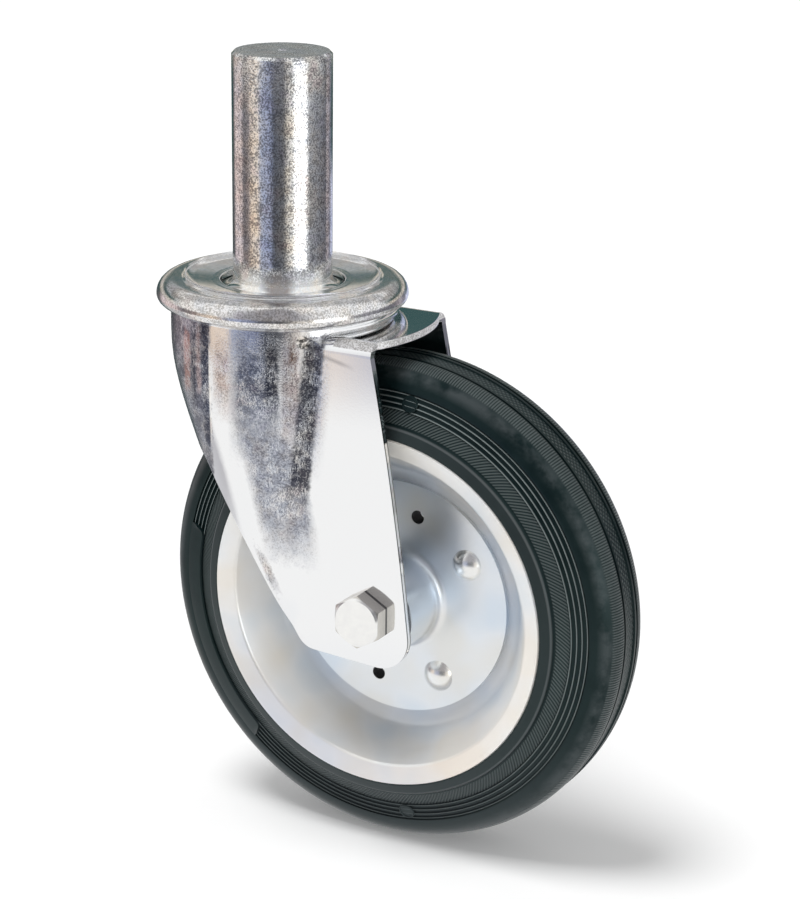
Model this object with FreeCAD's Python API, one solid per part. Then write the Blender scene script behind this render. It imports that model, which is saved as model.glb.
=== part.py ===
import FreeCAD, Part
import math
import os

# Scaffold castor, in millimetres. The origin is on the stem's axis, on the flat seat of the head flange.
# The stem points up (+Z), the wheel trails behind it (+X), and the bolt's head is on the near side (-Y).

# Stem: one turned bar with a flared foot and a spigot that is peened over the lower race cup
stem_diameter = 39.4
stem_height = 90.0
stem_chamfer = 1.2
centre_mark_radius = 1.8
centre_mark_depth = 1.5
foot_flare = 4.3
foot_thickness = 1.3
spigot_diameter = 24.0
peen_flare = 4.5
peen_height = 4.0
peen_round = 3.6

# Head flange: pressed sheet with a sunk centre, a raised step and a rolled rim
flange_sheet = 3.0
recess_gap = 0.7
recess_depth = 4.5
recess_bend = 1.2
dish_margin = 3.8
step_height = 1.1
step_width = 0.5
step_bend = 0.8
rim_width = 12.2
rim_slope = 0.25
bead_radius = 5.0
curl_radius = 3.6
lip_depth = 9.2
lip_gap = 0.1

# Swivel races
upper_ball_diameter = 8.0
upper_race_gap = 2.3
lower_ball_diameter = 6.0
lower_race_gap = 4.0
race_depth = 0.6
ball_clearance = 0.15
ball_spacing = 0.15
cup_sheet = 3.0
cup_floor_margin = 4.2
cup_bend = 3.1
cup_lip_gap = 0.8

# Fork: one pressed sheet with a round dome, a skirt that narrows, a rear shelf and two flat ears
fork_sheet = 3.0
swivel_gap = 0.6
skirt_inset = 5.6
dome_edge_fillet = 1.0
shelf_fillet = 1.7
shelf_drop = 3.0
shelf_overhang = 7.3
shelf_rear_radius = 58.0
ear_bend = 5.5
ear_gap = 2.7
valley_fillet = 11.0
web_rise = 0.8
crown_gap = 1.5

# Skirt sections: depth under the dome's top, how far the centre moves back, and the radius as a share of the
# way from the ears' outer faces to the dome's wall
skirt_sections = (
    (7.0, 0.0, 1.0),
    (20.2, 0.2, 0.97),
    (36.2, 2.2, 0.855),
    (61.7, 6.2, 0.52),
    (87.2, 10.8, 0.24),
    (114.2, 15.6, 0.12),
    (142.2, 20.5, 0.05),
)

# Fork outline from the side. The front is measured from the stem's axis and the dome's top, the ear from the
# axle: x, z and corner radius
front_start = (-60.0, -11.0)
front_arch = (-29.8, -54.1, 58.0)
ear_front_top = (-18.4, -60.7, 5.0)
ear_front_foot = (-27.6, -18.0, 9.0)
ear_rear_foot = (20.6, -21.1, 13.0)
ear_rear_bow = (12.5, 49.6, 1250.0)
ear_top_setback = 1.5

# Wheel place and tyre. Side band points are shares of the way from the rim to the tread, and depths inward
trail = 55.7
crown_clearance = 7.5
wheel_diameter = 200.0
wheel_width = 50.0
shoulder_drop = 0.7
shoulder_radius = 11.2
shoulder_inset = 8.7
side_band = ((0.194, 3.6), (0.405, 6.6), (0.62, 8.5), (0.627, 7.3))
side_ridge_count = 4
side_ridge_height = 0.45
tyre_base_rise = 4.7
rubber_gap = 0.05
centre_band_half = 3.6
centre_band_depth = 0.6
ridge_width = 1.4
groove_width = 1.2
groove_depth = 1.8
groove_taper = 0.2

# Rim halves, hub plates and rivets
rim_sheet = 2.0
rim_edge_radius = 72.1
rim_ring_width = 6.9
rim_ring_rise = 2.6
rim_ring_bend = 2.2
bowl_bend = 8.0
web_margin = 6.1
plate_sheet = 1.8
plate_margin = 12.6
plate_edge_gap = 0.3
neck_fillet = 3.8
neck_ear_gap = 0.5
rivet_offset = 16.9
rivet_angle = 31.4
rivet_count = 4
rivet_head_diameter = 12.8
rivet_head_height = 3.0
rivet_shank_diameter = 6.4
rivet_clearance = 0.1
vent_diameter = 5.6
vent_angle = 76.4
vent_count = 2

# Axle and roller bearing
bolt_diameter = 12.0
bolt_tip = 2.5
bolt_chamfer = 1.0
head_height = 7.5
hex_width = 19.0
hex_land = 0.95
nut_height = 10.0
washer_thickness = 2.5
washer_diameter = 24.0
axle_clearance = 0.1
hole_clearance = 0.25
sleeve_wall = 2.9
roller_diameter = 5.0
roller_count = 10
roller_clearance = 0.075
hub_tube_wall = 2.9
end_washer_thickness = 2.2
end_gap = 1.0
cage_wall = 1.8
cage_end = 2.4
cage_gap = 1.0
cage_clearance = 0.1
press_clearance = 0.05

# Radii worked out from the stem's axis outwards
vector = FreeCAD.Vector
up = vector(0, 0, 1)
across = vector(0, 1, 0)
far = 300.0
stem_radius = stem_diameter / 2
spigot_radius = spigot_diameter / 2
foot_radius = stem_radius + foot_flare
recess_radius = foot_radius + recess_gap
upper_pitch_radius = recess_radius + flange_sheet + upper_race_gap + upper_ball_diameter / 2
dish_radius = upper_pitch_radius + dish_margin
flange_radius = dish_radius + rim_width
dome_radius = flange_radius - skirt_inset
crown_hole_radius = spigot_radius + crown_gap
lower_pitch_radius = spigot_radius + lower_race_gap + lower_ball_diameter / 2
cup_wall_radius = lower_pitch_radius + cup_floor_margin
upper_race_radius = upper_ball_diameter / 2 + ball_clearance
lower_race_radius = lower_ball_diameter / 2 + ball_clearance

# Heights worked out from the flange's seat downwards
dome_top = -lip_depth - swivel_gap
crown_under = dome_top - fork_sheet
shelf_top = dome_top - shelf_drop
bend_foot = shelf_top - ear_bend
skirt_foot = dome_top - skirt_sections[-1][0]
upper_ball_z = (dome_top - flange_sheet) / 2
lower_ball_z = crown_under - lower_ball_diameter / 2 + race_depth
cup_top = lower_ball_z - lower_ball_diameter / 2 + race_depth
cup_bottom = cup_top - cup_sheet
wheel_radius = wheel_diameter / 2
axle_drop = wheel_radius + crown_clearance + fork_sheet - shelf_top
axle_centre = vector(trail, 0, -axle_drop)

# Widths and radii of the wheel, worked out from the axle outwards
half_width = wheel_width / 2
ear_inner = half_width + ear_gap
ear_outer = ear_inner + fork_sheet
ear_bottom = -axle_drop + 2 * ear_rear_foot[1]
shelf_rear_x = trail + shelf_overhang
ear_top_x = trail + ear_top_setback
nut_seat = ear_outer + washer_thickness
sleeve_bore = bolt_diameter / 2 + axle_clearance
sleeve_radius = sleeve_bore + sleeve_wall
roller_radius = roller_diameter / 2
roller_pitch = sleeve_radius + roller_clearance + roller_radius
tube_bore = roller_pitch + roller_radius + roller_clearance
tube_radius = tube_bore + hub_tube_wall
neck_bore = tube_radius + press_clearance
neck_radius = neck_bore + plate_sheet
rivet_pitch_radius = neck_radius + rivet_offset
plate_radius = rivet_pitch_radius + plate_margin
plate_outer = rim_sheet + plate_sheet
tube_half = ear_inner - end_gap - end_washer_thickness
cage_half = tube_half - cage_gap
roller_length = 2 * (cage_half - cage_end - cage_clearance)


def in_stem_plane(radius, z):
    return vector(radius, 0, z)


def in_side_plane(x, z):
    return vector(x, -far, z)


def in_wheel_plane(radius, y):
    return axle_centre + vector(0, y, radius)


def bend_points(before, corner, after):
    """Start, middle and end of the arc that rounds a corner, or the corner itself where it is sharp."""
    here = vector(corner[0], corner[1], 0)
    radius = corner[2] if len(corner) > 2 else 0
    if radius <= 0:
        return here, None, here
    back = (vector(before[0], before[1], 0) - here).normalize()
    ahead = (vector(after[0], after[1], 0) - here).normalize()
    half = back.getAngle(ahead) / 2
    reach = radius / math.tan(half)
    centre = here + (back + ahead).normalize() * (radius / math.sin(half))
    middle = centre + (here - centre).normalize() * radius
    return here + back * reach, middle, here + ahead * reach


def path_edges(corners, place, closed=False):
    """Straight runs and tangent arcs through the corners, each (u, v) or (u, v, bend radius)."""
    count = len(corners)
    bends = []
    for i, corner in enumerate(corners):
        if closed or 0 < i < count - 1:
            bends.append(bend_points(corners[i - 1], corner, corners[(i + 1) % count]))
        else:
            bends.append(bend_points(corner, corner[:2], corner))
    edges = []
    for i, (start, middle, end) in enumerate(bends):
        if middle is not None:
            arc = Part.Arc(place(start.x, start.y), place(middle.x, middle.y), place(end.x, end.y))
            edges.append(arc.toShape())
        if i + 1 < count or closed:
            following = bends[(i + 1) % count][0]
            if end.distanceToPoint(following) > 1e-6:
                edges.append(Part.makeLine(place(end.x, end.y), place(following.x, following.y)))
    return edges


def offset_corners(corners, distance):
    """The corners of a parallel path, on the left of the first one where the distance is positive."""
    moved = []
    last = len(corners) - 1
    for i, corner in enumerate(corners):
        here = vector(corner[0], corner[1], 0)
        before = vector(*corners[max(i - 1, 0)][:2], 0)
        after = vector(*corners[min(i + 1, last)][:2], 0)
        into = (here - before) if i > 0 else (after - here)
        away = (after - here) if i < last else (here - before)
        into.normalize()
        away.normalize()
        left_in = vector(-into.y, into.x, 0)
        left_out = vector(-away.y, away.x, 0)
        place = here + (left_in + left_out) * (distance / (1 + left_in.dot(left_out)))
        radius = corner[2] if len(corner) > 2 else 0
        if radius > 0:
            turn = into.x * away.y - into.y * away.x
            radius = max(radius - math.copysign(distance, turn * distance), 0)
        moved.append((place.x, place.y, radius))
    return moved


def solid_of(shape):
    """The one solid of a shape, facing outwards."""
    solid = shape.Solids[0]
    if solid.Volume < 0:
        solid.reverse()
    return solid


def sheet_face(corners, thickness, place):
    """Section of a pressed sheet: a path, its parallel on the left, and the two cut edges."""
    other = offset_corners(corners, thickness)
    edges = path_edges(corners, place) + path_edges(other, place)
    for end in (0, -1):
        edges.append(Part.makeLine(place(*corners[end][:2]), place(*other[end][:2])))
    return Part.Face(Part.Wire(Part.__sortEdges__(edges)))


def outline_face(corners, place):
    """Face inside a closed outline with rounded corners."""
    return Part.Face(Part.Wire(Part.__sortEdges__(path_edges(corners, place, closed=True))))


def turned(face):
    """Solid turned about the stem's axis."""
    return solid_of(face.revolve(vector(0, 0, 0), up, 360))


def wheel_turned(face):
    """Solid turned about the axle."""
    return solid_of(face.revolve(axle_centre, across, 360))


def cross_cylinder(radius, low_y, high_y, x=trail, z=-axle_drop):
    """Cylinder across the castor between two y values."""
    return Part.makeCylinder(radius, high_y - low_y, vector(x, low_y, z), across)


def around_axle(shape, angle):
    """A copy of a shape turned about the axle, positive from the rear towards the top."""
    copy = shape.copy()
    copy.rotate(axle_centre, across, -angle)
    return copy


def on_pitch(radius, angle):
    """Point on a circle about the axle, as x and z."""
    turn = math.radians(angle)
    return trail + radius * math.cos(turn), -axle_drop + radius * math.sin(turn)


def mirrored(shape):
    """The far twin of a near piece."""
    return shape.mirror(vector(0, 0, 0), across)


def save(name, shape):
    """Write one sub-part after a check that it is sound."""
    if not shape.isValid() or shape.Volume <= 0:
        raise ValueError(name + " is not a sound solid")
    shape.exportStep(os.path.join("parts", name + ".step"))
    print(name, len(shape.Solids), round(shape.Volume, 1))


def make_stem():
    """Turned bar: chamfered top with a centre mark, flared foot, spigot and peened end."""
    peen_z = cup_bottom
    corners = (
        (0, stem_height - centre_mark_depth),
        (centre_mark_radius, stem_height),
        (stem_radius - stem_chamfer, stem_height),
        (stem_radius, stem_height - stem_chamfer),
        (stem_radius, -recess_depth + foot_thickness, foot_flare),
        (foot_radius, -recess_depth + foot_thickness),
        (foot_radius, -recess_depth),
        (spigot_radius, -recess_depth),
        (spigot_radius, peen_z),
        (spigot_radius + peen_flare, peen_z),
        (spigot_radius + peen_flare, peen_z - peen_height, peen_round),
        (0, peen_z - peen_height),
    )
    return turned(outline_face(corners, in_stem_plane))


def race_ring(pitch_radius, groove_radius, z):
    """Ring that cuts a ball race."""
    return Part.makeTorus(pitch_radius, groove_radius, vector(0, 0, z), up)


def make_head_flange():
    """Pressed cover: sunk centre, flat dish, step, sloping top and rolled rim."""
    slope_start = dish_radius + step_width
    edge_z = step_height - rim_slope * (flange_radius - slope_start)
    corners = (
        (spigot_radius + press_clearance, -recess_depth),
        (recess_radius, -recess_depth, recess_bend),
        (recess_radius, 0, recess_bend),
        (dish_radius, 0),
        (slope_start, step_height, step_bend),
        (flange_radius, edge_z, bead_radius),
        (flange_radius, -lip_depth, curl_radius),
        (dome_radius + lip_gap, -lip_depth),
    )
    cover = turned(sheet_face(corners, -flange_sheet, in_stem_plane))
    return solid_of(cover.cut(race_ring(upper_pitch_radius, upper_race_radius, upper_ball_z)))


def make_lower_cup():
    """Pressed cup on the spigot, with the lower race and a raised wall."""
    corners = (
        (spigot_radius + press_clearance, cup_top),
        (cup_wall_radius, cup_top, cup_bend),
        (cup_wall_radius, crown_under - cup_lip_gap),
    )
    cup = turned(sheet_face(corners, -cup_sheet, in_stem_plane))
    return solid_of(cup.cut(race_ring(lower_pitch_radius, lower_race_radius, lower_ball_z)))


def make_balls(diameter, pitch_radius, z):
    """Full ring of balls of one race."""
    count = int(math.pi / math.asin((diameter + ball_spacing) / 2 / pitch_radius))
    balls = []
    for i in range(count):
        turn = 2 * math.pi * i / count
        centre = vector(pitch_radius * math.cos(turn), pitch_radius * math.sin(turn), z)
        balls.append(Part.makeSphere(diameter / 2, centre))
    return Part.makeCompound(balls)


def skirt_solid(inset, top):
    """Round dome and narrowing skirt, drawn in by the sheet where it is the inside."""
    rings = [Part.Wire(Part.makeCircle(dome_radius - inset, vector(0, 0, top), up))]
    for depth, centre_x, share in skirt_sections:
        radius = ear_outer + (dome_radius - ear_outer) * share - inset
        rings.append(Part.Wire(Part.makeCircle(radius, vector(centre_x, 0, dome_top - depth), up)))
    return solid_of(Part.makeLoft(rings, True, False))


def ear_block(half_width_y, top, bend):
    """Upside-down U section behind the dome, whose flanks become the ears."""
    front = skirt_sections[2][1]
    corners = (
        (-half_width_y, ear_bottom),
        (-half_width_y, top, bend),
        (half_width_y, top, bend),
        (half_width_y, ear_bottom),
    )
    face = outline_face(corners, lambda y, z: vector(front, y, z))
    return solid_of(face.extrude(vector(shelf_rear_x + flange_radius - front, 0, 0)))


def joint_edges(solid):
    """Edges where the skirt meets the ears and the shelf behind the swivel's bearing."""
    found = []
    for edge in solid.Edges:
        kinds = set(type(face.Surface).__name__ for face in solid.ancestorsOfType(edge, Part.Face))
        middle = edge.valueAt((edge.FirstParameter + edge.LastParameter) / 2)
        low_enough = edge.BoundBox.ZMin < shelf_top + shelf_drop / 2
        high_enough = edge.BoundBox.ZMax > skirt_foot + fork_sheet
        behind = middle.x > crown_hole_radius
        if len(kinds) > 1 and "BSplineSurface" in kinds and low_enough and high_enough and behind:
            found.append(edge)
    return found


def valley_web(skirt):
    """Metal in the two valleys between skirt and ears, sloping up to the crown's corners."""
    tall = solid_of(skirt.fuse(ear_block(ear_outer, dome_top, 0)))
    tall = tall.makeFillet(valley_fillet, joint_edges(tall))
    start = dome_radius - web_rise
    run = far - start
    slope = (bend_foot - shelf_top + web_rise) / (2 * web_rise + 2)
    corners = (
        (0, shelf_top + web_rise),
        (start, shelf_top + web_rise),
        (start + run, shelf_top + web_rise + slope * run),
        (start + run, -4 * far),
        (0, -4 * far),
    )
    return tall.common(turned(outline_face(corners, in_stem_plane)))


def fork_outside():
    """Outer form: dome, skirt, shelf and ears, with the bends between them."""
    skirt = skirt_solid(0, dome_top)
    body = solid_of(skirt.fuse(ear_block(ear_outer, shelf_top, ear_bend)))
    body = solid_of(body.makeFillet(shelf_fillet, joint_edges(body)))
    body = solid_of(body.fuse(valley_web(skirt)))
    rims = [edge for edge in body.Edges if abs(edge.BoundBox.ZMin - dome_top) < 0.01]
    return solid_of(body.makeFillet(dome_edge_fillet, rims))


def fork_inside():
    """Inner form, one sheet thickness in, open below and behind."""
    block = ear_block(ear_inner, shelf_top - fork_sheet, ear_bend - fork_sheet)
    return skirt_solid(fork_sheet, crown_under).fuse(block)


def side_outline():
    """Everything inside the fork's outline as seen from the side."""
    def from_dome(corner):
        return (corner[0], dome_top + corner[1]) + tuple(corner[2:])

    def from_axle(corner):
        return (trail + corner[0], corner[1] - axle_drop) + tuple(corner[2:])

    corners = (
        (front_start[0], far),
        from_dome(front_start),
        from_dome(front_arch),
        from_dome(ear_front_top),
        from_axle(ear_front_foot),
        from_axle(ear_rear_foot),
        from_axle(ear_rear_bow),
        (ear_top_x, bend_foot),
        (shelf_rear_x + flange_radius, bend_foot),
        (shelf_rear_x + flange_radius, far),
    )
    face = outline_face(corners, in_side_plane)
    return solid_of(face.extrude(vector(0, 2 * far, 0)))


def shelf_trim():
    """Waste behind the curved rear edge of the shelf and behind the tops of the ears."""
    disc_centre = vector(shelf_rear_x - shelf_rear_radius, 0, bend_foot)
    disc = Part.makeCylinder(shelf_rear_radius, far, disc_centre, up)
    waste = Part.makeBox(far, 2 * far, far, vector(ear_top_x, -far, bend_foot))
    return waste.cut(disc)


def make_fork():
    """Pressed fork: outer form less inner form, trimmed to its outlines, with races and holes."""
    shell = fork_outside().cut(fork_inside())
    shell = shell.common(side_outline()).cut(shelf_trim())
    shell = shell.cut(Part.makeCylinder(crown_hole_radius, 2 * fork_sheet, vector(0, 0, crown_under - 1), up))
    shell = shell.cut(race_ring(upper_pitch_radius, upper_race_radius, upper_ball_z))
    shell = shell.cut(race_ring(lower_pitch_radius, lower_race_radius, lower_ball_z))
    shell = shell.cut(cross_cylinder(bolt_diameter / 2 + hole_clearance, -far, far))
    return solid_of(shell)


def hexagon(low_y, high_y):
    """Hexagonal prism on the axle, one corner up."""
    corner_radius = hex_width / math.sqrt(3)
    points = []
    for i in range(7):
        turn = math.radians(90 + 60 * i)
        corner = vector(corner_radius * math.cos(turn), low_y, corner_radius * math.sin(turn))
        points.append(axle_centre + corner)
    return solid_of(Part.Face(Part.makePolygon(points)).extrude(vector(0, high_y - low_y, 0)))


def hex_chamfer(low_y, high_y, both):
    """Turned envelope that takes the corners off a hexagon's end or ends."""
    corner_radius = hex_width / math.sqrt(3) + press_clearance
    flat_radius = hex_width / 2 * hex_land
    drop = (corner_radius - flat_radius) * math.tan(math.radians(30))
    corners = [(0, low_y), (flat_radius, low_y), (corner_radius, low_y + drop)]
    if both:
        corners += [(corner_radius, high_y - drop), (flat_radius, high_y)]
    else:
        corners += [(corner_radius, high_y)]
    corners += [(0, high_y)]
    return wheel_turned(outline_face(corners, in_wheel_plane))


def make_axle_bolt():
    """Hexagon bolt, its head against the near ear."""
    head_y = -ear_outer - head_height
    head = hexagon(head_y, -ear_outer).common(hex_chamfer(head_y, -ear_outer, False))
    tip_y = nut_seat + nut_height + bolt_tip - bolt_chamfer
    radius = bolt_diameter / 2
    shank = cross_cylinder(radius, -ear_outer, tip_y)
    tip = Part.makeCone(radius, radius - bolt_chamfer, bolt_chamfer, vector(trail, tip_y, -axle_drop), across)
    return solid_of(head.fuse(shank).fuse(tip).removeSplitter())


def make_axle_nut():
    """Hexagon nut on the far side."""
    top = nut_seat + nut_height
    nut = hexagon(nut_seat, top).common(hex_chamfer(nut_seat, top, True))
    return solid_of(nut.cut(cross_cylinder(bolt_diameter / 2 + press_clearance, nut_seat - 1, top + 1)))


def ring_across(inner_radius, outer_radius, low_y, high_y):
    """Plain ring on the axle."""
    bore = cross_cylinder(inner_radius, low_y - 1, high_y + 1)
    return solid_of(cross_cylinder(outer_radius, low_y, high_y).cut(bore))


def rim_corners():
    """Outside of the far rim half, from its centre hole to its edge. Its bend starts just past the plate."""
    ring_radius = rim_edge_radius - rim_ring_width
    ring_y = half_width - rim_ring_rise
    across_r = ring_radius - plate_radius - plate_edge_gap
    across_y = ring_y - rim_sheet - bowl_bend
    wall_angle = math.atan2(across_y, across_r) + math.asin(bowl_bend / math.hypot(across_r, across_y))
    return (
        (neck_radius + web_margin, rim_sheet),
        (ring_radius - (ring_y - rim_sheet) / math.tan(wall_angle), rim_sheet, bowl_bend),
        (ring_radius, ring_y, rim_ring_bend),
        (rim_edge_radius, half_width),
    )


def drilled(solid):
    """Rivet holes and vent holes through a wheel plate."""
    low, high = -2 * plate_outer, 2 * plate_outer
    for i in range(rivet_count):
        x, z = on_pitch(rivet_pitch_radius, rivet_angle + i * 360 / rivet_count)
        solid = solid.cut(cross_cylinder(rivet_shank_diameter / 2 + rivet_clearance, low, high, x, z))
    for i in range(vent_count):
        x, z = on_pitch(rivet_pitch_radius, vent_angle + i * 360 / vent_count)
        solid = solid.cut(cross_cylinder(vent_diameter / 2, low, high, x, z))
    return solid_of(solid)


def make_rim_far():
    """Pressed rim half: flat web, conical bowl and the ring that holds the tyre."""
    return drilled(wheel_turned(sheet_face(rim_corners(), -rim_sheet, in_wheel_plane)))


def make_hub_plate_far():
    """Disc on the web with a drawn neck round the bearing."""
    corners = (
        (neck_radius, ear_inner - neck_ear_gap),
        (neck_radius, plate_outer, neck_fillet),
        (plate_radius, plate_outer),
    )
    return drilled(wheel_turned(sheet_face(corners, -plate_sheet, in_wheel_plane)))


def make_rivets():
    """Domed rivets through both plates and both webs."""
    head_radius = rivet_head_diameter / 2
    ball_radius = (head_radius ** 2 + rivet_head_height ** 2) / (2 * rivet_head_height)
    rivets = []
    for i in range(rivet_count):
        x, z = on_pitch(rivet_pitch_radius, rivet_angle + i * 360 / rivet_count)
        rivet = cross_cylinder(rivet_shank_diameter / 2, -plate_outer, plate_outer, x, z)
        for side in (-1, 1):
            centre_y = side * (plate_outer + rivet_head_height - ball_radius)
            ball = Part.makeSphere(ball_radius, vector(x, centre_y, z))
            low_y = min(side * plate_outer, side * (plate_outer + rivet_head_height + 1))
            head = ball.common(cross_cylinder(head_radius, low_y, low_y + rivet_head_height + 1, x, z))
            rivet = rivet.fuse(head)
        rivets.append(solid_of(rivet.removeSplitter()))
    return Part.makeCompound(rivets)


def tread_corners(top):
    """Half of the tread from its shoulder to the middle: a groove, a ridge and the sunk centre band."""
    ridge_out = centre_band_half + ridge_width
    groove_out = ridge_out + groove_width
    return [
        (top, groove_out),
        (wheel_radius - groove_depth, groove_out - groove_taper),
        (wheel_radius - groove_depth, ridge_out + groove_taper),
        (wheel_radius, ridge_out),
        (wheel_radius, centre_band_half + groove_taper),
        (wheel_radius - centre_band_depth, centre_band_half),
    ]


def ridged(start, end):
    """Points between two corners of the tyre's side that raise its fine ridges."""
    points = []
    for i in range(2 * side_ridge_count - 1):
        share = (i + 1) / (2 * side_ridge_count)
        raised = side_ridge_height if i % 2 == 0 else 0
        radius = start[0] + (end[0] - start[0]) * share
        side = start[1] + (end[1] - start[1]) * share
        points.append((radius, side + raised))
    return points


def make_tyre():
    """Solid rubber tyre: ribbed sides, round shoulders, a grooved tread, and a base between the rims."""
    rim = rim_corners()
    back = offset_corners(rim, -rim_sheet - rubber_gap)
    slope = (back[2][1] - back[1][1]) / (back[2][0] - back[1][0])
    base_radius = rim[1][0] + tyre_base_rise
    depth = wheel_radius - rim_edge_radius
    band = [(rim_edge_radius + depth * share, half_width - inset) for share, inset in side_band]
    root = band[-1]
    shoulder = (wheel_radius - shoulder_drop, half_width - shoulder_inset)
    turn = math.pi / 2 - math.atan2(root[1] - shoulder[1], shoulder[0] - root[0])
    reach = math.hypot(shoulder[0] - root[0], shoulder[1] - root[1])
    limited = min(shoulder_radius, reach / math.tan(turn / 2) * 0.999)
    half = [
        (base_radius, back[1][1] + slope * (base_radius - back[1][0])),
        back[2],
        back[3][:2],
        (rim_edge_radius + rubber_gap, half_width),
    ]
    half += band[:2] + ridged(band[1], band[2]) + band[2:]
    half += [shoulder + (limited,)] + tread_corners(shoulder[0])
    other_half = [(corner[0], -corner[1]) + tuple(corner[2:]) for corner in reversed(half)]
    return wheel_turned(outline_face(half + other_half, in_wheel_plane))


def make_roller_cage():
    """Thin sleeve with a window for each roller."""
    inner = roller_pitch - cage_wall / 2
    cage = ring_across(inner, inner + cage_wall, -cage_half, cage_half)
    width = roller_diameter + 2 * cage_clearance
    length = roller_length + 2 * cage_clearance
    corner = axle_centre + vector(inner - cage_wall / 2, -length / 2, -width / 2)
    for i in range(roller_count):
        window = Part.makeBox(2 * cage_wall, length, width, corner)
        cage = cage.cut(around_axle(window, i * 360 / roller_count))
    return solid_of(cage)


def make_rollers():
    """Bearing rollers between the sleeve and the hub tube."""
    rollers = []
    for i in range(roller_count):
        x, z = on_pitch(roller_pitch, i * 360 / roller_count)
        rollers.append(cross_cylinder(roller_radius, -roller_length / 2, roller_length / 2, x, z))
    return Part.makeCompound(rollers)


def main():
    os.makedirs("parts", exist_ok=True)
    save("stem", make_stem())
    save("head_flange", make_head_flange())
    save("lower_cup", make_lower_cup())
    save("upper_balls", make_balls(upper_ball_diameter, upper_pitch_radius, upper_ball_z))
    save("lower_balls", make_balls(lower_ball_diameter, lower_pitch_radius, lower_ball_z))
    save("fork", make_fork())

    save("axle_bolt", make_axle_bolt())
    save("axle_nut", make_axle_nut())
    washer_hole = bolt_diameter / 2 + hole_clearance
    save("nut_washer", ring_across(washer_hole, washer_diameter / 2, ear_outer, nut_seat))
    save("axle_sleeve", ring_across(sleeve_bore, sleeve_radius, -ear_inner, ear_inner))

    rim_far = make_rim_far()
    save("rim_far", rim_far)
    save("rim_near", mirrored(rim_far))
    plate_far = make_hub_plate_far()
    save("hub_plate_far", plate_far)
    save("hub_plate_near", mirrored(plate_far))
    save("hub_tube", ring_across(tube_bore, tube_radius, -tube_half, tube_half))
    washer_bore = sleeve_radius + roller_clearance
    end_washer = ring_across(washer_bore, tube_radius, tube_half, tube_half + end_washer_thickness)
    save("end_washer_far", end_washer)
    save("end_washer_near", mirrored(end_washer))
    save("rivets", make_rivets())
    save("tyre", make_tyre())
    save("roller_cage", make_roller_cage())
    save("rollers", make_rollers())


main()
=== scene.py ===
import math

import bmesh
import bpy
from mathutils import Matrix, Vector


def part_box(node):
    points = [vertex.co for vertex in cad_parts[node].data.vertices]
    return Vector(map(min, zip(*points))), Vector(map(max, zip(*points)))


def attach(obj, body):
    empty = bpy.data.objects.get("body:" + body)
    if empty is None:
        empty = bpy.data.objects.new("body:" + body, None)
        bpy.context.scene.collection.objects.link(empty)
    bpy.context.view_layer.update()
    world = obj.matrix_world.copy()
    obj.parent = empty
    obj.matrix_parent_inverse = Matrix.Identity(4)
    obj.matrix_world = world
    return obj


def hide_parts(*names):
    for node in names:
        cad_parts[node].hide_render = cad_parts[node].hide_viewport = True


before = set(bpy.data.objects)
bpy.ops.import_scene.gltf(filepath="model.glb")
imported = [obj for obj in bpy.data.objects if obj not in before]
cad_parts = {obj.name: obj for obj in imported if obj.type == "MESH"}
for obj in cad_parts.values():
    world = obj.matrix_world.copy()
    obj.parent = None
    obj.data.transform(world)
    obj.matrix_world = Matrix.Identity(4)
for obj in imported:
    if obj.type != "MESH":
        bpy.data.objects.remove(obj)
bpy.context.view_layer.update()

# The photograph's camera: bearing, height and roll in degrees, places in metres, lens in millimetres
camera_azimuth = 28.5275
camera_elevation = 17.9022
camera_roll = 0.6535
camera_distance = 1.048015
camera_target = Vector((0.0537733, 0, -0.0633814))
camera_lens = 106.27

# Places read from the frame, in metres
tyre_low, tyre_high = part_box("tyre")
wheel_centre = (tyre_low + tyre_high) / 2
wheel_radius = (tyre_high.z - tyre_low.z) / 2
floor_z = tyre_low.z

# Distances from the wheel's middle plane, in metres: the bolt head's outer face and the ears' outer faces
head_face = -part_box("axle_bolt")[0].y
ear_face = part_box("nut_washer")[0].y

# Heights between which the stem's spangle fades at its flared foot, in metres
foot_top = 0.007
foot_low = 0.001

# The valley between the fork's skirt and its ear, in metres: its place and height at the top, and its slant
valley_x = 0.033
valley_z = -0.014
valley_slant = 0.094

# Where the sheet is crumpled, at the meeting of the fork's skirt, shelf and ear, and how far, in metres.
# There it is painted with dark and light blotches as shade and highlights.
crumple_place = (0.0292, -0.0336, -0.0150)
crumple_inner = 0.0022
crumple_outer = 0.0030
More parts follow.
